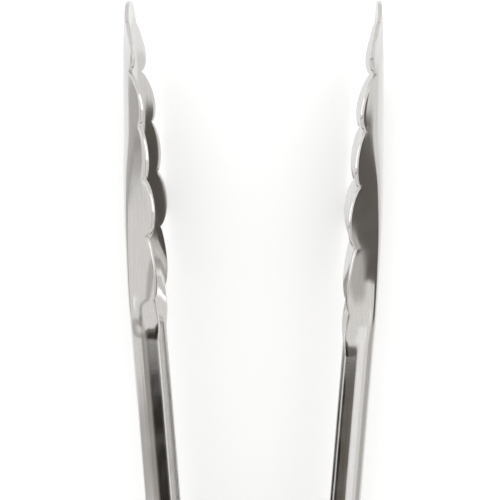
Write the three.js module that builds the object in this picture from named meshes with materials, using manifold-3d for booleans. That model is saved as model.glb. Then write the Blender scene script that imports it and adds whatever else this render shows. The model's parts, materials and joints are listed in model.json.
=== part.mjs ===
// A pair of spring-loaded stainless kitchen tongs, open and lying on their side.
// Each arm is one pressed channel ending in a scalloped grip. The arms turn on a rivet, a
// torsion spring holds them open, and a strap pulled out by its loop locks them closed.
// Everything is drawn about the rivet: the grips open along X, +Y runs to the grip tips
// and Z is the rivet's axis. The group at the end moves that to the foot of the object.
import * as THREE from "three";
import { mergeVertices } from "three/addons/utils/BufferGeometryUtils.js";
import Module from "manifold-3d";

const wasm = await Module();
wasm.setup();

// Driving dimensions, in millimetres.
const PIVOT_TO_TIP = 290;
const SHEET = 1.2; // thickness of the arms
const GAP = 0.3; // between neighbouring pieces
const HANDLE_HALF_WIDTH = 13.2;
const HANDLE_DEPTH = 8.3;
const HANDLE_CORNER = 5; // outside radius of the channel's folds
const CLOSING_ANGLE = THREE.MathUtils.degToRad(6.5); // each arm, from open to closed

// The arms about the rivet.
const PIVOT_BACK = 11.5; // centre plane to the back of an arm, beside the rivet
const EAR_RADIUS = 7.2;
const EAR_FRONT = 34; // where an ear runs out into the handle's flange
const REAR_END = -13;
const REAR_DEPTH = 5;
const REAR_SLOPE = 0.2283; // how fast the backs part beside the rivet
const PINCH_START = 19.5; // the right arm's ears pass inside the left arm's
const PINCH_END = 30;

// Slope of an arm's back away from the centre plane. It changes evenly between stations.
const BACK_SLOPES = [
  [10, REAR_SLOPE],
  [110, 0.075],
  [PIVOT_TO_TIP - 96, 0.075],
  [PIVOT_TO_TIP - 72, 0.055],
  [PIVOT_TO_TIP - 44, 0],
  [PIVOT_TO_TIP - 14, -0.03],
  [PIVOT_TO_TIP, -0.04],
];

// The grip's section at each notch of its rim: distance from the tip, half width where the
// flat back would meet the flange, radius of the fold between them, flare of the flange from
// square in degrees, and length of the flange from that meeting to the rim.
const NOTCHES = [
  [6.1, 7.2, 8, 77, 3.6],
  [20.2, 9.3, 20, 63, 5.3],
  [35.3, 8.9, 22, 56, 9.8],
  [50.4, 8.4, 12, 54, 11.9],
  [67, 8.7, 6, 51, 11.7],
  [84.9, 11, 4, 34, 9.6],
  [96.7, HANDLE_HALF_WIDTH, HANDLE_CORNER, 0, HANDLE_DEPTH],
];
const RIGHT_GRIP_STRETCH = 1.045; // the right arm's scallops are longer, so the grips mesh
const SCALLOPS = [4.6, 3.8, 2.75, 3.9, 1.8, 0.1]; // how far each swells past its notches
const SCALLOP_ROUNDNESS = 0.75;
const TIP_ROUND = 7.5; // centre of the tip's round outline, from the tip
const TIP_FLAT = 0.15; // the outline stops this much short of its point
const TIP_WEB_SHARE = 0.7; // flat part of the width near the tip

// The rivet and what it carries.
const RIVET_RADIUS = 2;
const HEAD_RADIUS = 4.5;
const HEAD_HEIGHT = 1.7;
const HEAD_FLAT_RADIUS = 2.5;
const TAIL_RADIUS = 3.4;
const TAIL_HEIGHT = 1.2;
const BURR_RADIUS = 4.6;
const BURR_THICKNESS = 0.8;
const WASHER_RADIUS = 5.5;
const WASHER_THICKNESS = 0.6;
const SLEEVE_WALL = 0.7;

// The torsion spring.
const WIRE_RADIUS = 0.9;
const COIL_RADIUS = 4.6;
const COIL_SPACE = 0.2; // between turns
const COIL_TURNS = 6; // counted to the next whole turn
const LEG_END = 44; // where a leg meets its arm
const LEG_FOOT = 5; // bent along the arm

// The locking strap and its pull loop.
const STRAP = 1; // thickness
const STRAP_HALF_WIDTH = 5.4;
const STRAP_REAR = -21;
const LOCK_TRAVEL = 9;
const SLOT_CLEARANCE = 0.4;
const LIP_START = 34; // turned-in lips on the arms, which the strap's fingers hold
const LIP_LENGTH = 4;
const LATCH_CLEARANCE = 0.4;
const FINGER_WIDTH = 2.2;
const FINGER_LENGTH = 9;
const BAR_WIDTH = 3.2;
const EYE_WALL = 1.15;
const EYE_HALF_LENGTH = 5.5;
const LOOP_WIRE_RADIUS = 1.25;
const LOOP_HALF_WIDTH = 9;
const LOOP_BEND = 2.5;
const LOOP_STRAIGHT = 12;
const LOOP_JOINT = 0.6; // where the loop's two ends meet inside the eye

// Fineness of the faceted surfaces.
const ROUND_SIDES = 28;
const WIRE_SIDES = 8;
const FOLD_STEPS = 4;
const SCALLOP_STEPS = 6;
const EAR_STEPS = 8;
const TIP_STEPS = 5;

// Stack on the rivet, as half heights from the middle plane outwards.
const PIN_HOLE = RIVET_RADIUS + GAP;
const OUTER_EAR_INSIDE = HANDLE_HALF_WIDTH - SHEET;
const WASHER_INSIDE = OUTER_EAR_INSIDE - GAP - WASHER_THICKNESS;
const PINCHED_HALF_WIDTH = WASHER_INSIDE - GAP;
const SLEEVE_HALF_LENGTH = PINCHED_HALF_WIDTH - SHEET - GAP;
const SLEEVE_RADIUS = PIN_HOLE + SLEEVE_WALL;
const STRAP_OUTSIDE = SLEEVE_HALF_LENGTH - GAP;
const STRAP_INSIDE = STRAP_OUTSIDE - STRAP;
const SLOT_RADIUS = SLEEVE_RADIUS + SLOT_CLEARANCE;
const EYE_HOLE = LOOP_WIRE_RADIUS + GAP + 0.05;
const EYE_RADIUS = EYE_HOLE + EYE_WALL;
const EYE_Y = STRAP_REAR - EYE_RADIUS - 0.25;
const LOOP_REAR = EYE_Y - LOOP_STRAIGHT - LOOP_HALF_WIDTH - LOOP_WIRE_RADIUS;

// ---- solids -------------------------------------------------------------------------

function solidFrom(geometry) {
  const bare = geometry.clone();
  bare.deleteAttribute("normal");
  bare.deleteAttribute("uv");
  const merged = mergeVertices(bare, 1e-4);
  return new wasm.Manifold(
    new wasm.Mesh({
      numProp: 3,
      vertProperties: merged.attributes.position.array,
      triVerts: new Uint32Array(merged.index.array),
    }),
  );
}

function geometryFrom(solid) {
  const mesh = solid.getMesh();
  const geometry = new THREE.BufferGeometry();
  geometry.setAttribute("position", new THREE.BufferAttribute(mesh.vertProperties, 3));
  geometry.setIndex(new THREE.BufferAttribute(mesh.triVerts, 1));
  const flat = geometry.toNonIndexed();
  flat.computeVertexNormals();
  return flat;
}

function joined(geometries) {
  const solids = geometries.map(solidFrom);
  return solids.reduce((whole, piece) => whole.add(piece));
}

function block(x0, x1, y0, y1, z0, z1) {
  const box = new THREE.BoxGeometry(x1 - x0, y1 - y0, z1 - z0);
  return box.translate((x0 + x1) / 2, (y0 + y1) / 2, (z0 + z1) / 2);
}

function rod(radius, halfLength) {
  const cylinder = new THREE.CylinderGeometry(radius, radius, 2 * halfLength, ROUND_SIDES);
  return cylinder.rotateX(Math.PI / 2);
}

// A turned piece about the Z axis, from [radius, z] points listed with z falling.
function turned(profile) {
  const points = profile.map(([radius, z]) => new THREE.Vector2(radius, -z));
  return new THREE.LatheGeometry(points, ROUND_SIDES).rotateX(-Math.PI / 2);
}

function washer(inner, outer, low, high) {
  return turned([
    [inner, low],
    [inner, high],
    [outer, high],
    [outer, low],
    [inner, low],
  ]);
}

function wire(path, radius, steps) {
  const section = new THREE.Shape();
  for (let i = 0; i < WIRE_SIDES; i++) {
    const angle = (2 * Math.PI * i) / WIRE_SIDES;
    const [x, y] = [radius * Math.cos(angle), radius * Math.sin(angle)];
    if (i === 0) section.moveTo(x, y);
    else section.lineTo(x, y);
  }
  return new THREE.ExtrudeGeometry(section, { extrudePath: path, steps });
}

// Even steps from one value to another, without the first.
function stepsTo(from, to, count) {
  return Array.from({ length: count }, (_, i) => from + ((to - from) * (i + 1)) / count);
}

// ---- the arms -----------------------------------------------------------------------

// Distance from the centre plane to the back of an arm.
function backOffset(y) {
  let [lastY, lastSlope] = BACK_SLOPES[0];
  if (y <= lastY) return PIVOT_BACK + y * lastSlope;
  let offset = PIVOT_BACK + lastY * lastSlope;
  for (const [nextY, nextSlope] of BACK_SLOPES.slice(1)) {
    const end = Math.min(y, nextY);
    const share = (end - lastY) / (nextY - lastY);
    const endSlope = lastSlope + (nextSlope - lastSlope) * share;
    offset += ((lastSlope + endSlope) / 2) * (end - lastY);
    if (y <= nextY) break;
    [lastY, lastSlope] = [nextY, nextSlope];
  }
  return offset;
}

// Values of a table of rows [position, ...values], even between rows.
function valuesAt(table, position) {
  const after = table.findIndex((row) => row[0] >= position);
  if (after === 0) return table[0].slice(1);
  if (after < 0) return table[table.length - 1].slice(1);
  const [low, high] = [table[after - 1], table[after]];
  const share = (position - low[0]) / (high[0] - low[0]);
  return low.slice(1).map((value, i) => value + (high[i + 1] - value) * share);
}

// The same, but on a smooth curve through the rows.
function easedValuesAt(table, position) {
  const after = table.findIndex((row) => row[0] >= position);
  if (after <= 0) return table[after === 0 ? 0 : table.length - 1].slice(1);
  const [low, high] = [table[after - 1], table[after]];
  const span = high[0] - low[0];
  const share = (position - low[0]) / span;
  const slopeAt = (row, column) => {
    if (row === 0 || row === table.length - 1) return 0;
    const [a, b, c] = [table[row - 1], table[row], table[row + 1]];
    const before = (b[column] - a[column]) / (b[0] - a[0]);
    const behind = (c[column] - b[column]) / (c[0] - b[0]);
    return before * behind <= 0 ? 0 : (2 * before * behind) / (before + behind);
  };
  return low.slice(1).map((value, i) => {
    const startPull = share * (1 - share) ** 2 * span * slopeAt(after - 1, i + 1);
    const endPull = share ** 2 * (share - 1) * span * slopeAt(after, i + 1);
    const ease = share ** 2 * (3 - 2 * share);
    return value + (high[i + 1] - value) * ease + startPull + endPull;
  });
}

// Half width and depth at the rim, fold half width and fold radius of the grip.
function gripSection(fromTip) {
  let [fold, radius, flareDegrees, reach] = easedValuesAt(NOTCHES, fromTip);
  const flare = THREE.MathUtils.degToRad(flareDegrees);
  const next = NOTCHES.findIndex((notch) => notch[0] >= fromTip);
  if (next > 0) {
    const [a, b] = [NOTCHES[next - 1], NOTCHES[next]];
    const share = (fromTip - a[0]) / (b[0] - a[0]);
    reach = a[4] + (b[4] - a[4]) * share;
    reach += SCALLOPS[next - 1] * (4 * share * (1 - share)) ** SCALLOP_ROUNDNESS;
  }
  let half = fold + reach * Math.sin(flare);
  let depth = reach * Math.cos(flare);
  const first = NOTCHES[0][0];
  if (fromTip < first) {
    const outline = (d) => Math.sqrt(1 - ((TIP_ROUND - d) / (TIP_ROUND + TIP_FLAT)) ** 2);
    half *= outline(fromTip) / outline(first);
    depth *= 0.2 + 0.8 * (fromTip / first) ** 2;
    fold = TIP_WEB_SHARE * half;
  }
  const tilt = Math.atan2(half - fold, depth);
  const bendRoom = (0.9 * depth) / Math.cos(tilt) / Math.tan((Math.PI / 2 - tilt) / 2);
  return { half, depth, fold, radius: Math.min(radius, bendRoom) };
}

function gripStretch(pinched) {
  return pinched ? RIGHT_GRIP_STRETCH : 1;
}

// An ear's rim: a round about the rivet with a straight run-out to each side.
const earFront = new THREE.Vector2(HANDLE_DEPTH - backOffset(EAR_FRONT), EAR_FRONT);
const earRear = new THREE.Vector2(REAR_DEPTH - backOffset(REAR_END), REAR_END);

function tangentAngle(point, side) {
  return Math.atan2(point.y, point.x) - side * Math.acos(EAR_RADIUS / point.length());
}

const roundStart = tangentAngle(earRear, -1);
const roundEnd = tangentAngle(earFront, 1);

function earRim(y) {
  const [startY, endY] = [roundStart, roundEnd].map((angle) => EAR_RADIUS * Math.sin(angle));
  if (y >= startY && y <= endY) return Math.sqrt(EAR_RADIUS ** 2 - y ** 2);
  const [fromY, angle, end] = y > endY ? [endY, roundEnd, earFront] : [startY, roundStart, earRear];
  const fromX = EAR_RADIUS * Math.cos(angle);
  return fromX + ((end.x - fromX) * (y - fromY)) / (end.y - fromY);
}

// Outer half width, flange depth, fold half width and fold radius of an arm at one station.
function channelAt(y, pinched) {
  const fromTip = (PIVOT_TO_TIP - y) / gripStretch(pinched);
  if (fromTip < NOTCHES[NOTCHES.length - 1][0]) return gripSection(fromTip);
  const narrow = pinched ? PINCHED_HALF_WIDTH : HANDLE_HALF_WIDTH;
  const [half] = valuesAt([[PINCH_START, narrow], [PINCH_END, HANDLE_HALF_WIDTH]], y);
  const depth = y < EAR_FRONT ? backOffset(y) + earRim(y) : HANDLE_DEPTH;
  return { half, depth, fold: half, radius: HANDLE_CORNER };
}

// One side of the channel's section, from its middle to its rim, as [depth, z] points of
// the outer and the inner skin.
function sideSection({ half, depth, fold, radius }) {
  const flare = Math.atan2(half - fold, depth);
  const turn = Math.PI / 2 - flare;
  const centreZ = fold - radius * Math.tan(turn / 2);
  const outer = [[0, 0]];
  const inner = [[SHEET, 0]];
  for (let i = 0; i <= FOLD_STEPS; i++) {
    const angle = (turn * i) / FOLD_STEPS;
    const [u, z] = [-Math.cos(angle), Math.sin(angle)];
    outer.push([radius + radius * u, centreZ + radius * z]);
    inner.push([radius + (radius - SHEET) * u, centreZ + (radius - SHEET) * z]);
  }
  outer.push([depth, half]);
  inner.push([depth + SHEET * Math.sin(flare), half - SHEET * Math.cos(flare)]);
  return { outer, inner };
}

function wholeSection(side) {
  const otherSide = side.slice(1).reverse().map(([u, z]) => [u, -z]);
  return [...otherSide, ...side];
}

function armStations(pinched) {
  const notches = NOTCHES.map(([fromTip]) => PIVOT_TO_TIP - fromTip * gripStretch(pinched));
  const gripStart = notches[notches.length - 1];
  const round = [roundStart, ...stepsTo(roundStart, roundEnd, EAR_STEPS)];
  const stations = [REAR_END, ...round.map((angle) => EAR_RADIUS * Math.sin(angle))];
  stations.push(PINCH_START, PINCH_END, EAR_FRONT);
  stations.push(...stepsTo(EAR_FRONT, BACK_SLOPES[1][0], 5));
  stations.push(...stepsTo(BACK_SLOPES[1][0], gripStart, 2));
  for (let i = notches.length - 1; i > 0; i--) {
    stations.push(...stepsTo(notches[i], notches[i - 1], SCALLOP_STEPS));
  }
  for (const share of stepsTo(0, Math.PI / 2, TIP_STEPS)) {
    stations.push(notches[0] + (PIVOT_TO_TIP - notches[0]) * Math.sin(share));
  }
  return stations;
}

// A sheet between two skins, each a grid of [x, y, z] points: rows along the arm.
function sheetBetween(outer, inner) {
  const positions = [];
  const face = (...corners) => corners.forEach((corner) => positions.push(...corner));
  const quad = (a, b, c, d) => {
    face(a, b, c);
    face(a, c, d);
  };
  const lastRow = outer.length - 1;
  const lastColumn = outer[0].length - 1;
  for (let r = 0; r < lastRow; r++) {
    for (let c = 0; c < lastColumn; c++) {
      quad(outer[r][c], outer[r][c + 1], outer[r + 1][c + 1], outer[r + 1][c]);
      quad(inner[r][c], inner[r + 1][c], inner[r + 1][c + 1], inner[r][c + 1]);
    }
    quad(outer[r][0], outer[r + 1][0], inner[r + 1][0], inner[r][0]);
    quad(outer[r][lastColumn], inner[r][lastColumn], inner[r + 1][lastColumn], outer[r + 1][lastColumn]);
  }
  for (let c = 0; c < lastColumn; c++) {
    quad(outer[0][c], inner[0][c], inner[0][c + 1], outer[0][c + 1]);
    quad(outer[lastRow][c], outer[lastRow][c + 1], inner[lastRow][c + 1], inner[lastRow][c]);
  }
  const geometry = new THREE.BufferGeometry();
  geometry.setAttribute("position", new THREE.Float32BufferAttribute(positions, 3));
  return mergeVertices(geometry, 1e-4);
}

// The lips turned in from both flanges, drawn as blocks in the left arm's place.
function lipBlocks() {
  const rim = HANDLE_DEPTH - backOffset(LIP_START + LIP_LENGTH / 2);
  const [inside, outside] = [STRAP_INSIDE - 0.2, HANDLE_HALF_WIDTH - SHEET / 2];
  const ends = [LIP_START, LIP_START + LIP_LENGTH];
  return [
    block(rim - SHEET, rim, ...ends, inside, outside),
    block(rim - SHEET, rim, ...ends, -outside, -inside),
  ];
}

// The tab turned in from the rear of the back. The two arms' tabs meet when open.
function stopTab() {
  const halfWidth = PINCHED_HALF_WIDTH - HANDLE_CORNER;
  const back = -backOffset(REAR_END);
  return block(back, -GAP / 2, REAR_END - SHEET, REAR_END + 0.2, -halfWidth, halfWidth);
}

// The left arm, or with pinched the shape of the right arm drawn in the left arm's place.
function armGeometry(pinched) {
  const place = (y) => ([u, z]) => [u - backOffset(y), y, z];
  const sections = armStations(pinched).map((y) => ({ y, ...sideSection(channelAt(y, pinched)) }));
  const outer = sections.map((s) => wholeSection(s.outer).map(place(s.y)));
  const inner = sections.map((s) => wholeSection(s.inner).map(place(s.y)));
  const arm = joined([sheetBetween(outer, inner), ...lipBlocks(), stopTab()]);
  return geometryFrom(arm.subtract(solidFrom(rod(PIN_HOLE, 2 * HANDLE_HALF_WIDTH))));
}

function widestHalf() {
  return Math.max(...armStations(false).map((y) => channelAt(y, false).half));
}

// ---- the rivet and what it carries --------------------------------------------------

function rivetGeometry() {
  const head = HANDLE_HALF_WIDTH + GAP;
  const tail = -(HANDLE_HALF_WIDTH + GAP + BURR_THICKNESS + GAP);
  return turned([
    [0, head + HEAD_HEIGHT],
    [HEAD_FLAT_RADIUS, head + HEAD_HEIGHT],
    [HEAD_RADIUS - 0.8, head + 0.7 * HEAD_HEIGHT],
    [HEAD_RADIUS, head + 0.25 * HEAD_HEIGHT],
    [HEAD_RADIUS, head],
    [RIVET_RADIUS, head],
    [RIVET_RADIUS, tail],
    [TAIL_RADIUS, tail],
    [TAIL_RADIUS - 0.4, tail - 0.7 * TAIL_HEIGHT],
    [RIVET_RADIUS - 0.2, tail - TAIL_HEIGHT],
    [0, tail - TAIL_HEIGHT],
  ]);
}

function burrGeometry() {
  const high = -(HANDLE_HALF_WIDTH + GAP);
  return washer(PIN_HOLE, BURR_RADIUS, high - BURR_THICKNESS, high);
}

function sleeveGeometry() {
  return washer(PIN_HOLE, SLEEVE_RADIUS, -SLEEVE_HALF_LENGTH, SLEEVE_HALF_LENGTH);
}

function earWasherGeometry(side) {
  const faces = [side * WASHER_INSIDE, side * (WASHER_INSIDE + WASHER_THICKNESS)];
  return washer(PIN_HOLE, WASHER_RADIUS, Math.min(...faces), Math.max(...faces));
}

// The coil's centre line, from the left leg round to the right leg.
class CoilCurve extends THREE.Curve {
  constructor(startAngle, endAngle, halfHeight) {
    super();
    Object.assign(this, { startAngle, endAngle, halfHeight });
  }
  getPoint(t, target = new THREE.Vector3()) {
    const angle = this.startAngle + (this.endAngle - this.startAngle) * t;
    const z = this.halfHeight * (2 * t - 1);
    return target.set(COIL_RADIUS * Math.cos(angle), COIL_RADIUS * Math.sin(angle), z);
  }
}

function springGeometry() {
  const standOff = SHEET + WIRE_RADIUS + GAP;
  const legX = (y) => backOffset(y) - standOff;
  const reach = Math.hypot(legX(LEG_END), LEG_END);
  const lean = Math.atan2(LEG_END, legX(LEG_END)) - Math.acos(COIL_RADIUS / reach);
  const [start, end] = [Math.PI - lean, 2 * Math.PI * COIL_TURNS + lean];
  const turns = (end - start) / (2 * Math.PI);
  const halfHeight = (turns * (2 * WIRE_RADIUS + COIL_SPACE)) / 2;
  const coil = new CoilCurve(start, end, halfHeight);
  const leg = (side, z) => [
    new THREE.Vector3(side * legX(LEG_END), LEG_END, z),
    new THREE.Vector3(side * legX(LEG_END + LEG_FOOT), LEG_END + LEG_FOOT, z),
  ];
  const [leftKnee, leftFoot] = leg(-1, -halfHeight);
  const [rightKnee, rightFoot] = leg(1, halfHeight);
  const path = new THREE.CurvePath();
  path.add(new THREE.LineCurve3(leftFoot, leftKnee));
  path.add(new THREE.LineCurve3(leftKnee, coil.getPoint(0)));
  path.add(coil);
  path.add(new THREE.LineCurve3(coil.getPoint(1), rightKnee));
  path.add(new THREE.LineCurve3(rightKnee, rightFoot));
  return wire(path, WIRE_RADIUS, 130);
}

// ---- the lock -----------------------------------------------------------------------

// Nearest and farthest reach of an arm's lip from the centre plane with the tongs closed.
function closedLip() {
  const rim = HANDLE_DEPTH - backOffset(LIP_START + LIP_LENGTH / 2);
  const corners = [rim - SHEET, rim].flatMap((x) =>
    [LIP_START, LIP_START + LIP_LENGTH].map((y) => new THREE.Vector2(x, y)),
  );
  const across = corners.map((corner) => -corner.rotateAround(new THREE.Vector2(), -CLOSING_ANGLE).x);
  const along = corners.map((corner) => corner.y);
  return { near: Math.min(...across), far: Math.max(...across), front: Math.max(...along) };
}

function strapPlate() {
  const lip = closedLip();
  const neck = Math.min(STRAP_HALF_WIDTH, lip.near - 2 * LATCH_CLEARANCE);
  const fingerIn = lip.far + LATCH_CLEARANCE;
  const fingerOut = fingerIn + FINGER_WIDTH;
  const fingerEnd = lip.front + LATCH_CLEARANCE;
  const bar = fingerEnd + FINGER_LENGTH;
  const side = [
    [STRAP_HALF_WIDTH, STRAP_REAR],
    [STRAP_HALF_WIDTH, LIP_START - LOCK_TRAVEL],
    [neck, LIP_START - LOCK_TRAVEL + 1],
    [neck, bar],
    [fingerIn, bar],
    [fingerIn, fingerEnd],
    [fingerOut, fingerEnd],
    [fingerOut, bar + BAR_WIDTH],
  ];
  const otherSide = side.slice().reverse().map(([x, y]) => [-x, y]);
  const outline = [...side, ...otherSide].map(([x, y]) => new THREE.Vector2(x, y));
  const shape = new THREE.Shape(outline);
  const slot = new THREE.Path();
  slot.absarc(0, 0, SLOT_RADIUS, Math.PI, 2 * Math.PI, false);
  slot.absarc(0, LOCK_TRAVEL, SLOT_RADIUS, 0, Math.PI, false);
  shape.holes.push(slot);
  return new THREE.ExtrudeGeometry(shape, { depth: STRAP, bevelEnabled: false, curveSegments: 10 });
}

function eyeTube() {
  const shape = new THREE.Shape().absarc(0, EYE_Y, EYE_RADIUS, 0, 2 * Math.PI, false);
  shape.holes.push(new THREE.Path().absarc(0, EYE_Y, EYE_HOLE, 0, 2 * Math.PI, false));
  const tube = new THREE.ExtrudeGeometry(shape, {
    depth: 2 * EYE_HALF_LENGTH,
    bevelEnabled: false,
    curveSegments: ROUND_SIDES / 2,
  });
  return tube.translate(0, 0, -EYE_HALF_LENGTH);
}

function lockGeometry() {
  const rearWeb = [STRAP_REAR, STRAP_REAR + STRAP, -STRAP_OUTSIDE, STRAP_OUTSIDE];
  const tongue = [STRAP_REAR - 0.9, STRAP_REAR + STRAP / 2, -EYE_HALF_LENGTH, EYE_HALF_LENGTH];
  const solid = joined([
    strapPlate().translate(0, 0, STRAP_INSIDE),
    strapPlate().translate(0, 0, -STRAP_OUTSIDE),
    block(-STRAP_HALF_WIDTH, STRAP_HALF_WIDTH, ...rearWeb),
    block(-STRAP / 2, STRAP / 2, ...tongue),
    eyeTube(),
  ]);
  return geometryFrom(solid);
}

function loopGeometry() {
  const bendY = EYE_Y - LOOP_BEND;
  const roundY = EYE_Y - LOOP_STRAIGHT;
  const at = (y, z) => new THREE.Vector3(0, y, z);
  const path = new THREE.CurvePath();
  const addSide = (side, reverse) => {
    const inner = at(EYE_Y, (side * LOOP_JOINT) / 2);
    const bendStart = at(EYE_Y, side * (LOOP_HALF_WIDTH - LOOP_BEND));
    const corner = at(EYE_Y, side * LOOP_HALF_WIDTH);
    const bendEnd = at(bendY, side * LOOP_HALF_WIDTH);
    const roundStart = at(roundY, side * LOOP_HALF_WIDTH);
    const run = [
      [inner, bendStart],
      [bendStart, corner, bendEnd],
      [bendEnd, roundStart],
    ];
    const ordered = reverse ? run.reverse().map((points) => points.reverse()) : run;
    for (const points of ordered) {
      const piece =
        points.length === 2 ? new THREE.LineCurve3(...points) : new THREE.QuadraticBezierCurve3(...points);
      path.add(piece);
    }
  };
  addSide(1, false);
  path.add(new RearBend(roundY));
  addSide(-1, true);
  return wire(path, LOOP_WIRE_RADIUS, 64);
}

// The half circle at the rear of the pull loop.
class RearBend extends THREE.Curve {
  constructor(y) {
    super();
    this.y = y;
  }
  getPoint(t, target = new THREE.Vector3()) {
    const angle = Math.PI * t;
    return target.set(0, this.y - LOOP_HALF_WIDTH * Math.sin(angle), LOOP_HALF_WIDTH * Math.cos(angle));
  }
}

// ---- the assembly -------------------------------------------------------------------

const steel = (color, roughness) => new THREE.MeshStandardMaterial({ color, roughness, metalness: 1 });
const polishedSteel = steel(0xd6d8da, 0.18);
const springSteel = steel(0xaeb2b5, 0.3);
const rivetSteel = steel(0xc9cbcc, 0.25);
const washerNylon = new THREE.MeshStandardMaterial({ color: 0xe9e6dd, roughness: 0.6 });

const group = new THREE.Group();

function addPiece(name, geometry, material) {
  const mesh = new THREE.Mesh(geometry, material);
  mesh.name = name;
  group.add(mesh);
  return mesh;
}

addPiece("left_arm", armGeometry(false), polishedSteel);
addPiece("right_arm", armGeometry(true), polishedSteel).rotation.y = Math.PI;
addPiece("pivot_rivet", rivetGeometry(), rivetSteel);
addPiece("rivet_burr", burrGeometry(), rivetSteel);
addPiece("spacer_sleeve", sleeveGeometry(), rivetSteel);
addPiece("ear_washer_top", earWasherGeometry(1), washerNylon);
addPiece("ear_washer_bottom", earWasherGeometry(-1), washerNylon);
addPiece("torsion_spring", springGeometry(), springSteel);
addPiece("lock_slider", lockGeometry(), polishedSteel);
addPiece("pull_loop", loopGeometry(), springSteel);

// The origin is under the middle of the object, on the surface that it lies on.
group.position.set(0, -(PIVOT_TO_TIP + LOOP_REAR) / 2, widestHalf());

export default group;
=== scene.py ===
"""Spring-loaded kitchen tongs: the finished pieces, their materials and a plain studio."""

import json
import math

import bmesh
import bpy
from bpy.props import FloatProperty, FloatVectorProperty, IntProperty, PointerProperty
from mathutils import Matrix, Vector


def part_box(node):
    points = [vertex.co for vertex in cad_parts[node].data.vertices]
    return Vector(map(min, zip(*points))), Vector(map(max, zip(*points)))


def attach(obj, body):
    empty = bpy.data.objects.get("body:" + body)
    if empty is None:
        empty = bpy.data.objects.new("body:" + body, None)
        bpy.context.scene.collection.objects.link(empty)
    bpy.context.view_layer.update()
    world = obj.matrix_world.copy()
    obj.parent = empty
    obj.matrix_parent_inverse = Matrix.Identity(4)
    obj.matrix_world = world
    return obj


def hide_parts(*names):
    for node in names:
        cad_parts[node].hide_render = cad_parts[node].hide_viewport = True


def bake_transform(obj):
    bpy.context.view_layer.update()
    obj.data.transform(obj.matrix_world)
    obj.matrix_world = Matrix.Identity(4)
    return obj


bl_info = {
    "name": "Kitchen tongs",
    "version": (1, 0, 0),
    "blender": (4, 5, 0),
    "location": "View3D > Sidebar > Tongs",
    "description": "Builds spring-loaded kitchen tongs, piece by piece, with their studio",
    "category": "Add Mesh",
}

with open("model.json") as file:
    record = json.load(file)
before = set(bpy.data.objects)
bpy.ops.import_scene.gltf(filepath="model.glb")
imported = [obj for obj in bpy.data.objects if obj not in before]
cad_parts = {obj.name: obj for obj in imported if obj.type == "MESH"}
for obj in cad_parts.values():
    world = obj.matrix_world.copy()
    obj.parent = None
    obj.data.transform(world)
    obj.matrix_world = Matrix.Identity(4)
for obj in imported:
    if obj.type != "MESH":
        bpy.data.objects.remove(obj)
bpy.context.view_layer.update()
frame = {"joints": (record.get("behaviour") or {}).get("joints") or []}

MM = 0.001
JOINTS = {joint["name"]: joint for joint in frame["joints"]}
PIVOT = Vector(JOINTS["left_arm_hinge"]["pos_m"])
EYE = Vector(JOINTS["loop_swing"]["pos_m"]) - PIVOT
CLOSING_ANGLE = math.radians(JOINTS["left_arm_hinge"]["range_deg"][1])
LOCK_TRAVEL = JOINTS["lock_slide"]["range_m"][1]
PIVOT_TO_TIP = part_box("left_arm")[1].y - PIVOT.y
GAP = 0.3 * MM
CLEARANCE = 0.4 * MM  # round the lock's slot and its fingers
EYE_TO_STRAP = 0.25 * MM
MERGE_DISTANCE = 0.001 * MM
CREASE = math.radians(40)  # a sharper turn than this is an edge

# The arms about the rivet.
PIVOT_BACK = 11.5 * MM  # centre plane to the back of an arm, beside the rivet
EAR_RADIUS = 7.2 * MM
EAR_FRONT = 34 * MM
REAR_END = -13 * MM
REAR_DEPTH = 5 * MM
REAR_SLOPE = 0.2283
PINCH = (19.5 * MM, 30 * MM)  # where the right arm widens to the handle
# Slope of an arm's back away from the centre plane. It changes evenly between stations.
BACK_SLOPES = [
    (10 * MM, REAR_SLOPE),
    (110 * MM, 0.075),
    (PIVOT_TO_TIP - 96 * MM, 0.075),
    (PIVOT_TO_TIP - 72 * MM, 0.055),
    (PIVOT_TO_TIP - 44 * MM, 0),
    (PIVOT_TO_TIP - 14 * MM, -0.03),
    (PIVOT_TO_TIP, -0.04),
]
# The grip's section at each notch of its rim: distance from the tip, half width where the
# flat back would meet the flange, radius of the fold between them, flare of the flange from
# square in degrees, and length of the flange from that meeting to the rim.
GRIP_NOTCHES = [
    (6.1 * MM, 7.2 * MM, 8 * MM, 77, 3.6 * MM),
    (20.2 * MM, 9.3 * MM, 20 * MM, 63, 5.3 * MM),
    (35.3 * MM, 8.9 * MM, 22 * MM, 56, 9.8 * MM),
    (50.4 * MM, 8.4 * MM, 12 * MM, 54, 11.9 * MM),
    (67 * MM, 8.7 * MM, 6 * MM, 51, 11.7 * MM),
    (84.9 * MM, 11 * MM, 4 * MM, 34, 9.6 * MM),
]
GRIP_END = 96.7 * MM  # where the last scallop meets the handle, from the tip
RIGHT_GRIP_STRETCH = 1.045  # the right arm's scallops are longer, so that the two grips mesh
SCALLOPS = [4.6 * MM, 3.8 * MM, 2.75 * MM, 3.9 * MM, 1.8 * MM, 0.1 * MM]  # swell past the notches
SCALLOP_ROUNDNESS = 0.75
TIP_ROUND = 7.5 * MM
TIP_FLAT = 0.15 * MM
TIP_WEB_SHARE = 0.7


# ---- settings -----------------------------------------------------------------------


def length(name, description, default):
    """A size in metres, shown with its unit."""
    return FloatProperty(
        name=name, description=description, default=default, min=0, precision=5, unit="LENGTH"
    )


def tint(name, description, default):
    """A linear colour."""
    return FloatVectorProperty(
        name=name, description=description, default=default, size=3, min=0, max=1, subtype="COLOR"
    )


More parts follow.
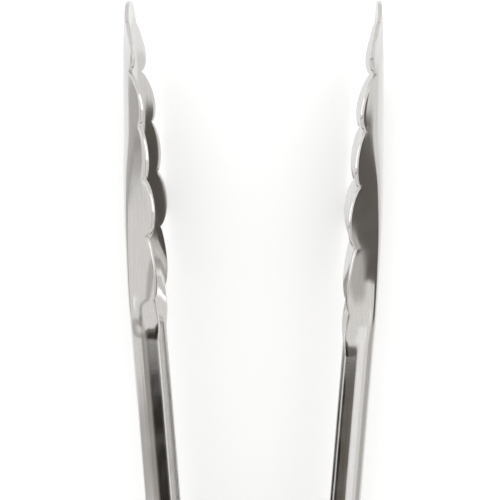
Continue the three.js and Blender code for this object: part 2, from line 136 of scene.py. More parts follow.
class ArmSettings(bpy.types.PropertyGroup):
    """Sizes of the two pressed arms."""

    sheet: length("Sheet", "Thickness of the pressed sheet", 1.2 * MM)
    half_width: length("Half width", "Half of the handle's width", 13.2 * MM)
    depth: length("Depth", "Depth of the handle's flanges", 8.3 * MM)
    fold: length("Fold radius", "Outside radius of the handle's folds", 5.0 * MM)
    edge: length("Edge rounding", "Rounding of the sheet's edges", 0.28 * MM)
    station: length("Station", "Longest step between cross sections", 0.6 * MM)
    half_columns: IntProperty(
        name="Half columns", description="Steps from the back's middle to a rim", default=16, min=8
    )


class RivetSettings(bpy.types.PropertyGroup):
    """Sizes of the rivet and of what it carries."""

    shank: length("Shank radius", "Radius of the rivet's shank", 2.0 * MM)
    head: length("Head radius", "Radius of the rivet's head", 4.5 * MM)
    head_height: length("Head height", "Height of the rivet's head", 1.7 * MM)
    tail: length("Tail radius", "Radius of the clinched tail", 3.4 * MM)
    tail_height: length("Tail height", "Height of the clinched tail", 1.2 * MM)
    burr: length("Burr radius", "Radius of the ring under the tail", 4.6 * MM)
    burr_thickness: length("Burr thickness", "Thickness of the ring under the tail", 0.8 * MM)
    washer: length("Washer radius", "Radius of the washers between the ears", 5.5 * MM)
    washer_thickness: length("Washer thickness", "Thickness of those washers", 0.6 * MM)
    sleeve_wall: length("Sleeve wall", "Wall of the spacer sleeve", 0.7 * MM)
    sides: IntProperty(name="Sides", description="Sides of a turned piece", default=96, min=12)


class SpringSettings(bpy.types.PropertyGroup):
    """Sizes of the torsion spring."""

    wire: length("Wire radius", "Radius of the spring's wire", 0.9 * MM)
    coil: length("Coil radius", "Radius of the coil's centre line", 4.6 * MM)
    space: length("Turn space", "Free space between two turns", 0.2 * MM)
    leg_end: length("Leg end", "How far along the arm a leg reaches", 44 * MM)
    foot: length("Foot", "Length of a leg's end that lies along its arm", 5 * MM)
    turns: IntProperty(name="Turns", description="Turns to the next whole one", default=6, min=2)


class LockSettings(bpy.types.PropertyGroup):
    """Sizes of the locking strap and its pull loop."""

    strap: length("Strap", "Thickness of the strap", 1.0 * MM)
    half_width: length("Half width", "Half of the strap's width", 5.4 * MM)
    bend: length("Bend radius", "Outside radius of the strap's rear bends", 1.8 * MM)
    edge: length("Edge rounding", "Rounding of the strap's edges", 0.18 * MM)
    finger: length("Finger width", "Width of a holding finger", 2.2 * MM)
    finger_length: length("Finger length", "Length of a holding finger", 9 * MM)
    bar: length("Bar width", "Width of the bar that joins the fingers", 3.2 * MM)
    eye_wall: length("Eye wall", "Thickness of the rolled eye", 1.15 * MM)
    eye_half: length("Eye half length", "Half of the rolled eye's length", 5.5 * MM)
    lip_start: length("Lip start", "Where the arms' lips begin", 34 * MM)
    lip_length: length("Lip length", "Length of the arms' lips", 4 * MM)
    loop_wire: length("Loop wire radius", "Radius of the pull loop's wire", 1.25 * MM)
    loop_half: length("Loop half width", "Half of the loop's width", 9 * MM)
    loop_bend: length("Loop bend", "Bend radius at the loop's corners", 2.5 * MM)
    loop_straight: length("Loop straight", "From the eye to the loop's round end", 12 * MM)


class FinishSettings(bpy.types.PropertyGroup):
    """Colours of the finishes."""

    sheet_steel: tint("Sheet steel", "Polished sheet of the arms and strap", (0.80, 0.79, 0.775))
    wire_steel: tint("Wire steel", "Drawn wire of the spring and loop", (0.60, 0.60, 0.60))
    rivet_steel: tint("Rivet steel", "Turned rivet, burr and sleeve", (0.72, 0.71, 0.70))
    nylon: tint("Nylon", "Washers between the ears", (0.83, 0.80, 0.72))
    floor: tint("Floor", "The surface that the tongs lie on", (0.93, 0.93, 0.925))


class StageSettings(bpy.types.PropertyGroup):
    """The camera and the room."""

    camera_height: length("Camera height", "Camera above the rivet's middle", 469 * MM)
    camera_side: length("Camera side", "Camera to the right of the rivet", 15 * MM)
    camera_along: length("Camera along", "Camera in front of the rivet", 271 * MM)
    aim_side: FloatProperty(
        name="Aim side",
        description="Aim to the right of the rivet",
        default=-1.1 * MM,
        unit="LENGTH",
    )
    aim_along: length("Aim along", "Aim in front of the rivet", 217.8 * MM)
    lens: FloatProperty(
        name="Lens", description="Focal length in millimetres", default=116.0, min=1
    )
    floor_size: length("Floor size", "Side of the floor", 6.0)


SETTINGS = {
    "tongs_arms": ArmSettings,
    "tongs_rivet": RivetSettings,
    "tongs_spring": SpringSettings,
    "tongs_lock": LockSettings,
    "tongs_finish": FinishSettings,
    "tongs_stage": StageSettings,
}


# ---- node trees ---------------------------------------------------------------------


class Signal:
    """One value in a node tree. Arithmetic on it adds the math nodes."""

    def __init__(self, tree, socket):
        self.tree = tree
        self.socket = socket

    def math(self, operation, *others):
        node = self.tree.nodes.new("ShaderNodeMath")
        node.operation = operation
        for socket, value in zip(node.inputs, (self, *others)):
            feed(self.tree, socket, value)
        return Signal(self.tree, node.outputs[0])

    def __add__(self, other):
        return self.math("ADD", other)

    def __sub__(self, other):
        return self.math("SUBTRACT", other)

    def __rsub__(self, other):
        return (self * -1.0) + other

    def __mul__(self, other):
        return self.math("MULTIPLY", other)

    def __truediv__(self, other):
        return self.math("DIVIDE", other)

    def clamped(self):
        return self.math("MAXIMUM", 0.0).math("MINIMUM", 1.0)


def feed(tree, socket, value):
    """Links a Signal to a socket, or sets the socket's own value."""
    if isinstance(value, Signal):
        tree.links.new(value.socket, socket)
    else:
        socket.default_value = value


def add_node(tree, kind, inputs=None, **settings):
    """A new node with its settings and inputs. Inputs go by name or by number."""
    node = tree.nodes.new(kind)
    for name, value in settings.items():
        setattr(node, name, value)
    for key, value in (inputs or {}).items():
        feed(tree, node.inputs[key], value)
    return node


def outcome(tree, kind, inputs=None, output=0, **settings):
    """The chosen output of a new node."""
    node = add_node(tree, kind, inputs, **settings)
    return Signal(tree, node.outputs[output])


def new_tree(name, kind, inputs, outputs):
    """An empty tree with named sockets, and its inputs as a dict of Signals."""
    tree = bpy.data.node_groups.new(name, kind)
    for in_out, sockets in (("INPUT", inputs), ("OUTPUT", outputs)):
        for label, socket_type in sockets:
            tree.interface.new_socket(name=label, in_out=in_out, socket_type=socket_type)
    entry = tree.nodes.new("NodeGroupInput")
    return tree, {label: Signal(tree, entry.outputs[label]) for label, _ in inputs}


def close_tree(tree, results):
    """Feeds the tree's named outputs."""
    node = tree.nodes.new("NodeGroupOutput")
    for label, value in results.items():
        feed(tree, node.inputs[label], value)
    return tree


def vector_of(tree, x, y, z):
    return outcome(tree, "ShaderNodeCombineXYZ", {"X": x, "Y": y, "Z": z})


def parts_of(tree, vector):
    """The x, y and z of a vector Signal."""
    node = add_node(tree, "ShaderNodeSeparateXYZ", {0: vector})
    return [Signal(tree, socket) for socket in node.outputs]


def finish_geometry(tree, geometry, material):
    """Ends a geometry tree in real, smooth mesh with its material."""
    smooth = outcome(tree, "GeometryNodeSetShadeSmooth", {"Geometry": geometry})
    real = outcome(tree, "GeometryNodeRealizeInstances", {"Geometry": smooth})
    made = outcome(tree, "GeometryNodeSetMaterial", {"Geometry": real, "Material": material})
    return close_tree(tree, {"Geometry": made})


def pressed_channel_tree():
    """A sheet folded into a channel, lofted along a spine of stations.

    Each spine point is the middle of the channel's back at one station. Its attributes give
    the section there: half width and depth at the rim, half width where the back would meet
    the flange, radius of the fold, and how far the skins are drawn in. The Section object
    goes once round the sheet, see sheet_section.
    """
    tree, given = new_tree(
        "Pressed channel",
        "GeometryNodeTree",
        [
            ("Geometry", "NodeSocketGeometry"),
            ("Section", "NodeSocketObject"),
            ("Sheet", "NodeSocketFloat"),
            ("Edge", "NodeSocketFloat"),
            ("Material", "NodeSocketMaterial"),
        ],
        [("Geometry", "NodeSocketGeometry")],
    )
    spine = given["Geometry"]
    section = outcome(tree, "GeometryNodeObjectInfo", {"Object": given["Section"]}, output=4)
    stations = outcome(tree, "GeometryNodeAttributeDomainSize", {"Geometry": spine})
    columns = outcome(tree, "GeometryNodeAttributeDomainSize", {"Geometry": section})
    grid = outcome(
        tree,
        "GeometryNodeMeshGrid",
        {"Size X": 1.0, "Size Y": 1.0, "Vertices X": columns + 1.0, "Vertices Y": stations},
    )
    position = outcome(tree, "GeometryNodeInputPosition")
    across, along, _ = parts_of(tree, position)
    row = ((along + 0.5) * (stations - 1.0)).math("ROUND")
    column = ((across + 0.5) * columns).math("ROUND").math("MODULO", columns)

    def sampled(source, index, value, data_type="FLOAT"):
        inputs = {"Geometry": source, "Value": value, "Index": index}
        return outcome(tree, "GeometryNodeSampleIndex", inputs, data_type=data_type)

    def named(source, index, name):
        value = outcome(tree, "GeometryNodeInputNamedAttribute", {"Name": name}, data_type="FLOAT")
        return sampled(source, index, value)

    half, depth, fold, radius, inset = (
        named(spine, row, name) for name in ("half", "depth", "fold", "radius", "inset")
    )
    side, back, bend, flange, through, over = (
        named(section, column, name)
        for name in ("side", "back", "bend", "flange", "through", "over")
    )
    flare = (half - fold).math("ARCTAN2", depth)
    turn = math.pi / 2 - flare
    centre = fold - radius * (turn * 0.5).math("TANGENT")
    angle = turn * bend
    skin = inset + through * (given["Sheet"] - inset * 2.0)
    bend_deep = radius - (radius - skin) * angle.math("COSINE")
    bend_wide = centre * back + (radius - skin) * angle.math("SINE")
    length_deep = depth - radius * (1.0 - turn.math("COSINE"))
    length_wide = half - centre - radius * turn.math("SINE")
    flange_length = (length_deep * length_deep + length_wide * length_wide).math("SQRT")
    reach = (flange_length - given["Edge"] - inset) * flange + over
    deep = bend_deep + reach * flare.math("COSINE")
    wide = bend_wide + reach * flare.math("SINE")

    origin = sampled(spine, row, position, "FLOAT_VECTOR")
    offset = vector_of(tree, deep, 0.0, wide * side)
    place = outcome(tree, "ShaderNodeVectorMath", {0: origin, 1: offset}, operation="ADD")
    lofted = outcome(tree, "GeometryNodeSetPosition", {"Geometry": grid, "Position": place})
    closed = outcome(
        tree, "GeometryNodeMergeByDistance", {"Geometry": lofted, "Distance": MERGE_DISTANCE}
    )
    return finish_geometry(tree, closed, given["Material"])


def drawn_wire_tree():
    """A round wire along the edges of a path mesh, with flat cut ends."""
    tree, given = new_tree(
        "Drawn wire",
        "GeometryNodeTree",
        [
            ("Geometry", "NodeSocketGeometry"),
            ("Radius", "NodeSocketFloat"),
            ("Sides", "NodeSocketInt"),
            ("Material", "NodeSocketMaterial"),
        ],
        [("Geometry", "NodeSocketGeometry")],
    )
    path = outcome(tree, "GeometryNodeMeshToCurve", {"Mesh": given["Geometry"]})
    section = outcome(
        tree,
        "GeometryNodeCurvePrimitiveCircle",
        {"Resolution": given["Sides"], "Radius": given["Radius"]},
    )
    swept = outcome(
        tree,
        "GeometryNodeCurveToMesh",
        {"Curve": path, "Profile Curve": section, "Fill Caps": True},
    )
    return finish_geometry(tree, swept, given["Material"])


# ---- mesh helpers -------------------------------------------------------------------


def add_object(name, mesh):
    obj = bpy.data.objects.new(name, mesh)
    bpy.context.scene.collection.objects.link(obj)
    return obj


def mesh_from(name, points, edges=(), faces=()):
    mesh = bpy.data.meshes.new(name)
    mesh.from_pydata([tuple(point) for point in points], edges, faces)
    mesh.update()
    return mesh


def face_outward(bm):
    bmesh.ops.recalc_face_normals(bm, faces=bm.faces)
    if bm.calc_volume(signed=True) < 0:
        bmesh.ops.reverse_faces(bm, faces=bm.faces)


def mesh_from_bmesh(name, bm):
    mesh = bpy.data.meshes.new(name)
    face_outward(bm)
    bm.to_mesh(mesh)
    bm.free()
    return mesh


def apply_modifiers(obj):
    """Turns the evaluated object into its plain mesh."""
    graph = bpy.context.evaluated_depsgraph_get()
    graph.update()
    made = bpy.data.meshes.new_from_object(obj.evaluated_get(graph))
    obj.modifiers.clear()
    obj.data = made
    return obj


def run_tree(obj, tree, values):
    """Runs a geometry tree on an object, with inputs by name, and keeps the plain mesh."""
    modifier = obj.modifiers.new(tree.name, "NODES")
    modifier.node_group = tree
    for item in tree.interface.items_tree:
        if item.item_type == "SOCKET" and item.in_out == "INPUT" and item.name in values:
            modifier[item.identifier] = values[item.name]
    return apply_modifiers(obj)


def join_solids(obj, tools, operation):
    """Joins or cuts obj with other solids, which are used up."""
    for tool in tools:
        modifier = obj.modifiers.new(operation, "BOOLEAN")
        modifier.operation = operation
        modifier.solver = "EXACT"
        modifier.object = tool
    apply_modifiers(obj)
    for tool in tools:
        bpy.data.objects.remove(tool)
    return obj


def round_edges(obj, width, angle=50, segments=3):
    """Rounds the sharp edges and keeps the flats looking flat."""
    bevel = obj.modifiers.new("Rounded edges", "BEVEL")
    bevel.width = width
    bevel.segments = segments
    bevel.limit_method = "ANGLE"
    bevel.angle_limit = math.radians(angle)
    weighted = obj.modifiers.new("Weighted normals", "WEIGHTED_NORMAL")
    weighted.keep_sharp = True
    apply_modifiers(obj)
    return obj


def place_piece(obj, material):
    """Moves a piece from the rivet's frame to its place, in its mesh, with one material."""
    obj.data.transform(Matrix.Translation(PIVOT))
    obj.data.materials.clear()
    obj.data.materials.append(material)
    obj.data.shade_smooth()
    obj.data.set_sharp_from_angle(angle=CREASE)
    return obj


def box_solid(name, low, high):
    bm = bmesh.new()
    bmesh.ops.create_cube(bm, size=1)
    low, high = Vector(low), Vector(high)
    size = Matrix.Diagonal((*(high - low), 1))
    bmesh.ops.transform(bm, matrix=Matrix.Translation((low + high) / 2) @ size, verts=bm.verts)
    return add_object(name, mesh_from_bmesh(name, bm))


def extruded_solid(name, outline, half):
    """An outline of (x, y) points, made solid from -half to half in z."""
    bm = bmesh.new()
    low, high = ([bm.verts.new((x, y, z)) for x, y in outline] for z in (-half, half))
    bm.faces.new(low)
    bm.faces.new(high)
    for i in range(len(outline)):
        j = (i + 1) % len(outline)
        bm.faces.new((low[i], low[j], high[j], high[i]))
    return add_object(name, mesh_from_bmesh(name, bm))


def turned_mesh(name, profile, sides):
    """A piece turned about Z from (radius, z) points that start and end on the axis, or close."""
    bm = bmesh.new()
    closed = profile[0][0] > 0
    angles = [2 * math.pi * i / sides for i in range(sides)]
    rings = []
    for radius, z in profile:
        ring = [(radius * math.cos(a), radius * math.sin(a), z) for a in angles]
        rings.append([bm.verts.new(point) for point in (ring if radius > 0 else ring[:1])])
    pairs = list(zip(rings, rings[1:])) + ([(rings[-1], rings[0])] if closed else [])
    for first, second in pairs:
        for i in range(sides):
            j = (i + 1) % sides
            corners = [first[i % len(first)], first[j % len(first)]]
            corners += [second[j % len(second)], second[i % len(second)]]
            bm.faces.new(list(dict.fromkeys(corners)))
    return mesh_from_bmesh(name, bm)


def arc(centre, radius, start, end, steps):
    """Points on an arc in a plane, with angles in degrees."""
    points = []
    for i in range(steps + 1):
        angle = math.radians(start + (end - start) * i / steps)
        points.append((centre[0] + radius * math.cos(angle), centre[1] + radius * math.sin(angle)))
    return points


# ---- shapes of the arms -------------------------------------------------------------


def back_offset(y):
    """Distance from the centre plane to the back of an arm."""
    last_y, last_slope = BACK_SLOPES[0]
    if y <= last_y:
        return PIVOT_BACK + y * last_slope
    offset = PIVOT_BACK + last_y * last_slope
    for next_y, next_slope in BACK_SLOPES[1:]:
        end = min(y, next_y)
        end_slope = last_slope + (next_slope - last_slope) * (end - last_y) / (next_y - last_y)
        offset += (last_slope + end_slope) / 2 * (end - last_y)
        if y <= next_y:
            break
        last_y, last_slope = next_y, next_slope
    return offset


def values_at(table, position):
    """Values of a table of (position, ...values) rows, even between rows."""
    if position <= table[0][0]:
        return table[0][1:]
    for low, high in zip(table, table[1:]):
        if position <= high[0]:
            share = (position - low[0]) / (high[0] - low[0])
            return tuple(a + (b - a) * share for a, b in zip(low[1:], high[1:]))
    return table[-1][1:]


def eased_values(table, position):
    """Values of a table of (position, ...values) rows, on a smooth curve through the rows."""
    if position <= table[0][0]:
        return table[0][1:]
    if position >= table[-1][0]:
        return table[-1][1:]
    after = next(i for i, row in enumerate(table) if position <= row[0])
    low, high = table[after - 1], table[after]
    span = high[0] - low[0]
    share = (position - low[0]) / span

    def slope_at(i, column):
        if i == 0 or i == len(table) - 1:
            return 0
        left = (table[i][column] - table[i - 1][column]) / (table[i][0] - table[i - 1][0])
        right = (table[i + 1][column] - table[i][column]) / (table[i + 1][0] - table[i][0])
        return 0 if left * right <= 0 else 2 * left * right / (left + right)

    values = []
    for column in range(1, len(low)):
        start_pull = share * (1 - share) ** 2 * span * slope_at(after - 1, column)
        end_pull = share**2 * (share - 1) * span * slope_at(after, column)
        ease = share**2 * (3 - 2 * share)
        values.append(low[column] + (high[column] - low[column]) * ease + start_pull + end_pull)
    return values


def grip_notches(arms):
    return GRIP_NOTCHES + [(GRIP_END, arms.half_width, arms.fold, 0, arms.depth)]


def grip_section(arms, from_tip):
    """Half width and depth at the rim, fold half width and fold radius of the grip."""
    notches = grip_notches(arms)
    fold, radius, flare, reach = eased_values(notches, from_tip)
    flare = math.radians(flare)
    for low, high, swell in zip(notches, notches[1:], SCALLOPS):
        if low[0] <= from_tip <= high[0]:
            share = (from_tip - low[0]) / (high[0] - low[0])
            reach = low[-1] + (high[-1] - low[-1]) * share
            reach += swell * (4 * share * (1 - share)) ** SCALLOP_ROUNDNESS
    half, depth = fold + reach * math.sin(flare), reach * math.cos(flare)
    first = notches[0][0]
    if from_tip < first:

        def outline(distance):
            return math.sqrt(1 - ((TIP_ROUND - distance) / (TIP_ROUND + TIP_FLAT)) ** 2)

        half *= outline(from_tip) / outline(first)
        depth *= 0.2 + 0.8 * (from_tip / first) ** 2
        fold = TIP_WEB_SHARE * half
    flare = math.atan2(half - fold, depth)
    bend_room = 0.9 * depth / math.cos(flare) / math.tan((math.pi / 2 - flare) / 2)
    return half, depth, fold, min(radius, bend_room)


def ear_round(arms):
    """Where the round of an ear starts and ends: angles, and the points its sides run to."""
    rear = Vector((REAR_DEPTH - back_offset(REAR_END), REAR_END))
    front = Vector((arms.depth - back_offset(EAR_FRONT), EAR_FRONT))
    ends = []
    for point, side in ((rear, -1), (front, 1)):
        angle = math.atan2(point.y, point.x) - side * math.acos(EAR_RADIUS / point.length)
        ends.append((angle, point))
    return ends


def ear_rim(arms, y):
    (start, rear), (end, front) = ear_round(arms)
    start_y, end_y = EAR_RADIUS * math.sin(start), EAR_RADIUS * math.sin(end)
    if start_y <= y <= end_y:
        return math.sqrt(EAR_RADIUS**2 - y**2)
    from_y, angle, target = (end_y, end, front) if y > end_y else (start_y, start, rear)
    from_x = EAR_RADIUS * math.cos(angle)
    return from_x + (target.x - from_x) * (y - from_y) / (target.y - from_y)


def pinched_half(arms, rivet):
    """Half width over the right arm's ears, which sit inside the left arm's."""
    return arms.half_width - arms.sheet - 2 * GAP - rivet.washer_thickness


def grip_stretch(pinched):
    return RIGHT_GRIP_STRETCH if pinched else 1


def channel_at(arms, rivet, y, pinched):
    """Half width, flange depth, fold half width and fold radius at one station."""
    from_tip = (PIVOT_TO_TIP - y) / grip_stretch(pinched)
    if from_tip < GRIP_END:
        return grip_section(arms, from_tip)
    half = arms.half_width
    if pinched:
        narrow = pinched_half(arms, rivet)
        half = values_at([(PINCH[0], narrow), (PINCH[1], arms.half_width)], y)[0]
    depth = back_offset(y) + ear_rim(arms, y) if y < EAR_FRONT else arms.depth
    return half, depth, half, arms.fold


def edge_steps(width, steps=4):
    """(distance in from an edge, inset there) of a quarter-round edge, from the edge inwards."""
    angles = [math.pi / 2 * i / steps for i in range(steps + 1)]
    return [(width * (1 - math.cos(angle)), width * (1 - math.sin(angle))) for angle in angles]


def arm_stations(arms, pinched):
    """(distance along the arm, inset of the skins), with a station on every change of shape."""
    (start, _), (end, _) = ear_round(arms)
    marks = [EAR_RADIUS * math.sin(start), EAR_RADIUS * math.sin(end), *PINCH]
    marks += [EAR_FRONT, *(y for y, _ in BACK_SLOPES[1:-1])]
    stretch = grip_stretch(pinched)
    marks += [PIVOT_TO_TIP - from_tip * stretch for from_tip, *_ in grip_notches(arms)]
    marks = [REAR_END + arms.edge, *sorted(marks)]
    # At either end the two skins meet halfway through the sheet, which closes it.
    end_steps = [(0, arms.sheet / 2), *edge_steps(arms.edge)]
    stations = [(REAR_END + distance, inset) for distance, inset in end_steps]
    for low, high in zip(marks, marks[1:]):
        steps = max(1, math.ceil((high - low) / arms.station))
        stations += [(low + (high - low) * (i + 1) / steps, 0) for i in range(steps)]
    tip_start, tip_end = marks[-1], PIVOT_TO_TIP - arms.edge
    tip_steps = 14
    for i in range(1, tip_steps):
        share = math.sin(math.pi / 2 * i / tip_steps)
        stations.append((tip_start + (tip_end - tip_start) * share, 0))
    return stations + [(PIVOT_TO_TIP - distance, inset) for distance, inset in end_steps[::-1]]


def arm_spine(name, arms, rivet, pinched):
    """The arm's stations as points with the section's sizes as attributes."""
    stations = arm_stations(arms, pinched)
    mesh = mesh_from(name, [(-back_offset(y), y, 0) for y, _ in stations])
    sections = [(*channel_at(arms, rivet, y, pinched), inset) for y, inset in stations]
    names = ("half", "depth", "fold", "radius", "inset")
    for attribute, values in zip(names, zip(*sections)):
        mesh.attributes.new(attribute, "FLOAT", "POINT").data.foreach_set("value", values)
    return add_object(name, mesh)


def sheet_section(arms):
    """One turn round the section of the folded sheet, as points with attributes.

    side is +1 or -1. back, bend and flange are how far the point is along the flat back, the
    fold and the flange. through goes from 0 on the outer skin to 1 on the inner skin, and
    over is how far the point goes over the end of the flat flange, in the rim's rounding.
    """
    columns = arms.half_columns
    back_columns, bend_columns = 2, columns - 6
    half = []
    for i in range(columns + 1):
        back = min(i / back_columns, 1)
        bend = min(max((i - back_columns) / bend_columns, 0), 1)
        flange = max((i - back_columns - bend_columns) / (columns - back_columns - bend_columns), 0)
        half.append((back, bend, flange))
    corner = [(inset / arms.sheet, arms.edge - pull) for pull, inset in edge_steps(arms.edge)]
    rim = corner[::-1] + [(1 - through, over) for through, over in corner]
    ring = []
    for side, through in ((1, 0), (-1, 1)):
        skin = [(-side, *shares, through, 0) for shares in half[:0:-1]]
        skin += [(side, *shares, through, 0) for shares in half]
        ring += skin[1:-1]
        edge = rim if side > 0 else rim[::-1]
        ring += [(side, 1, 1, 1, *point) for point in edge]
    mesh = mesh_from("section", [(i, 0, 0) for i in range(len(ring))])
    names = ("side", "back", "bend", "flange", "through", "over")
    for attribute, values in zip(names, zip(*ring)):
        mesh.attributes.new(attribute, "FLOAT", "POINT").data.foreach_set("value", values)
    return add_object("section", mesh)


def lip_solids(arms, lock):
    """The lips turned in from both flanges of the left arm."""
    rim = arms.depth - back_offset(lock.lip_start + lock.lip_length / 2)
    outside = arms.half_width - arms.sheet / 2
    inside = strap_inside(lock) - 0.2 * MM
    low, high = lock.lip_start, lock.lip_start + lock.lip_length
    flush = 0.02 * MM
    solids = []
    for side in (1, -1):
        z = sorted((side * inside, side * outside))
        corners = ((rim - arms.sheet, low, z[0]), (rim - flush, high, z[1]))
        solids.append(box_solid("lip", *corners))
    return solids


def stop_tab(arms, rivet):
    """The tab bent in from the rear of the left arm's back."""
    half = pinched_half(arms, rivet) - arms.fold
    thick = 0.92 * arms.sheet
    bend = 1.4 * MM
    skin = (arms.sheet - thick) / 2
    back = -back_offset(REAR_END) + skin
    overlap = 2 * MM
    rear = REAR_END - arms.sheet
    outer = [(-back_offset(REAR_END + overlap) + skin, REAR_END + overlap)]
    outer += arc((back + bend, rear + bend), bend, 180, 270, 6) + [(-GAP / 2, rear)]
    inner = [(outer[0][0] + thick, outer[0][1])]
    inner += arc((back + bend, rear + bend), bend - thick, 180, 270, 6) + [(-GAP / 2, rear + thick)]
    return extruded_solid("tab", outer + inner[::-1], half)


def pin_hole(arms, rivet):
    radius, reach = rivet.shank + GAP, 2 * arms.half_width
    pin = [(0, reach), (radius, reach), (radius, -reach), (0, -reach)]
    return add_object("hole", turned_mesh("hole", pin, rivet.sides))


def turn_outward(obj):
    bm = bmesh.new()
    bm.from_mesh(obj.data)
    face_outward(bm)
    bm.to_mesh(obj.data)
    bm.free()


def build_arm(name, tree, settings, pinched, material):
    """One arm in the left arm's place, about the rivet."""
    arms, rivet, lock = settings["tongs_arms"], settings["tongs_rivet"], settings["tongs_lock"]
    obj = arm_spine(name, arms, rivet, pinched)
    section = sheet_section(arms)
    inputs = {"Section": section, "Sheet": arms.sheet, "Edge": arms.edge, "Material": material}
    run_tree(obj, tree, inputs)
    bpy.data.objects.remove(section)
    turn_outward(obj)
    join_solids(obj, [*lip_solids(arms, lock), stop_tab(arms, rivet)], "UNION")
    join_solids(obj, [pin_hole(arms, rivet)], "DIFFERENCE")
    return obj


# ---- shapes of the spring, the loop and the strap -----------------------------------


def spring_lead(settings):
    """Where a leg leaves the coil, and where it meets its arm, on the right-hand side."""
    spring, arms = settings["tongs_spring"], settings["tongs_arms"]
    stand_off = arms.sheet + spring.wire + GAP
    knee = Vector((back_offset(spring.leg_end) - stand_off, spring.leg_end, 0))
    foot_end = spring.leg_end + spring.foot
    foot = Vector((back_offset(foot_end) - stand_off, foot_end, 0))
    lean = math.atan2(knee.y, knee.x) - math.acos(spring.coil / knee.length)
    return lean, knee, foot


def spring_half_path(settings, side):
    """Centre line of half the spring: half of the coil, the leg and the foot."""
    spring = settings["tongs_spring"]
    lean, knee, foot = spring_lead(settings)
    start, end = math.pi - lean, 2 * math.pi * spring.turns + lean
    height = (end - start) / (2 * math.pi) * (2 * spring.wire + spring.space)
    middle = (start + end) / 2
    last = end if side > 0 else start
    steps = math.ceil(abs(last - middle) / math.radians(7.5))
    points = []
    for i in range(steps + 1):
        angle = middle + (last - middle) * i / steps
        z = height * (angle - middle) / (end - start)
        points.append(Vector((spring.coil * math.cos(angle), spring.coil * math.sin(angle), z)))
    z = side * height / 2
    knee, foot = (Vector((side * point.x, point.y, z)) for point in (knee, foot))
    leg_start = points[-1].copy()
    soften = 2 * MM
    before = knee + (leg_start - knee).normalized() * soften
    after = knee + (foot - knee).normalized() * soften
    leg_steps, bend_steps, foot_steps = 12, 5, 3
    points += [leg_start.lerp(before, (i + 1) / leg_steps) for i in range(leg_steps)]
    for i in range(1, bend_steps + 1):
        t = i / bend_steps
        points.append(before.lerp(knee, t).lerp(knee.lerp(after, t), t))
    points += [after.lerp(foot, (i + 1) / foot_steps) for i in range(foot_steps)]
    return points


def loop_path(lock):
    """Centre line of the pull loop, round from its joint inside the eye."""
    joint, steps = 0.3 * MM, 8
    bend, half = lock.loop_bend, lock.loop_half
    round_y = EYE.y - lock.loop_straight
    upper = [(EYE.y, joint), (EYE.y, (half - bend) / 2)]
    upper += [(y, z) for z, y in arc((half - bend, EYE.y - bend), bend, 90, 0, steps)]
    upper += [(EYE.y - bend - (lock.loop_straight - bend) / 2, half)]
    end = [(y, z) for z, y in arc((0, round_y), half, 0, -180, 40)]
    lower = [(y, -z) for y, z in reversed(upper)]
    return [Vector((0, y, z)) for y, z in upper + end + lower]


def path_object(name, points):
    edges = [(i, i + 1) for i in range(len(points) - 1)]
    return add_object(name, mesh_from(name, points, edges))


def strap_outside(settings):
    """Half height over the strap's two plates."""
    arms, rivet = settings["tongs_arms"], settings["tongs_rivet"]
    return pinched_half(arms, rivet) - arms.sheet - 2 * GAP


def strap_inside(lock):
    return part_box("lock_slider")[1].z - PIVOT.z - lock.strap


def closed_lip(arms, lock):
    """Reach of an arm's lip from the centre plane, and along it, with the tongs closed."""
    rim = arms.depth - back_offset(lock.lip_start + lock.lip_length / 2)
    turn = Matrix.Rotation(-CLOSING_ANGLE, 2)
    ends = (lock.lip_start, lock.lip_start + lock.lip_length)
    corners = [turn @ Vector((x, y)) for x in (rim - arms.sheet, rim) for y in ends]
    across = [-corner.x for corner in corners]
    return min(across), max(across), max(corner.y for corner in corners)


def fillet(points, radius, steps=5):
    """Rounds the corners of a closed outline."""
    rounded = []
    for i, corner in enumerate(points):
        before, after = points[i - 1], points[(i + 1) % len(points)]
        reach = min(radius, (before - corner).length / 2, (after - corner).length / 2)
        start = corner + (before - corner).normalized() * reach
        end = corner + (after - corner).normalized() * reach
        for step in range(steps + 1):
            t = step / steps
            rounded.append(start.lerp(corner, t).lerp(corner.lerp(end, t), t))
    return rounded


def strap_outline(settings):
    """The strap's plate seen along the rivet, from its rear bend forward."""
    arms, lock = settings["tongs_arms"], settings["tongs_lock"]
    near, far, front = closed_lip(arms, lock)
    neck = min(lock.half_width, near - 2 * CLEARANCE)
    finger_in, finger_end = far + CLEARANCE, front + CLEARANCE
    finger_out, bar = finger_in + lock.finger, finger_end + lock.finger_length
    side = [
        Vector((neck, bar)),
        Vector((finger_in, bar)),
        Vector((finger_in, finger_end)),
        Vector((finger_out, finger_end)),
        Vector((finger_out, bar + lock.bar)),
    ]
    front_part = side + [Vector((-point.x, point.y)) for point in reversed(side)]
    rear_y = EYE.y + strap_rear(lock) + lock.bend
    rear = [Vector((-lock.half_width, rear_y)), Vector((lock.half_width, rear_y))]
    return rear + fillet(front_part, 0.7 * MM)


def eye_hole(lock):
    """Radius inside the rolled eye."""
    return lock.loop_wire + GAP + 0.05 * MM


def strap_rear(lock):
    """From the eye's centre forward to the rear face of the strap."""
    return eye_hole(lock) + lock.eye_wall + EYE_TO_STRAP


def strap_slot(settings):
    rivet = settings["tongs_rivet"]
    radius = rivet.shank + GAP + rivet.sleeve_wall + CLEARANCE
    points = arc((0, 0), radius, 180, 360, 20) + arc((0, LOCK_TRAVEL), radius, 0, 180, 20)
    return [Vector(point) for point in points]


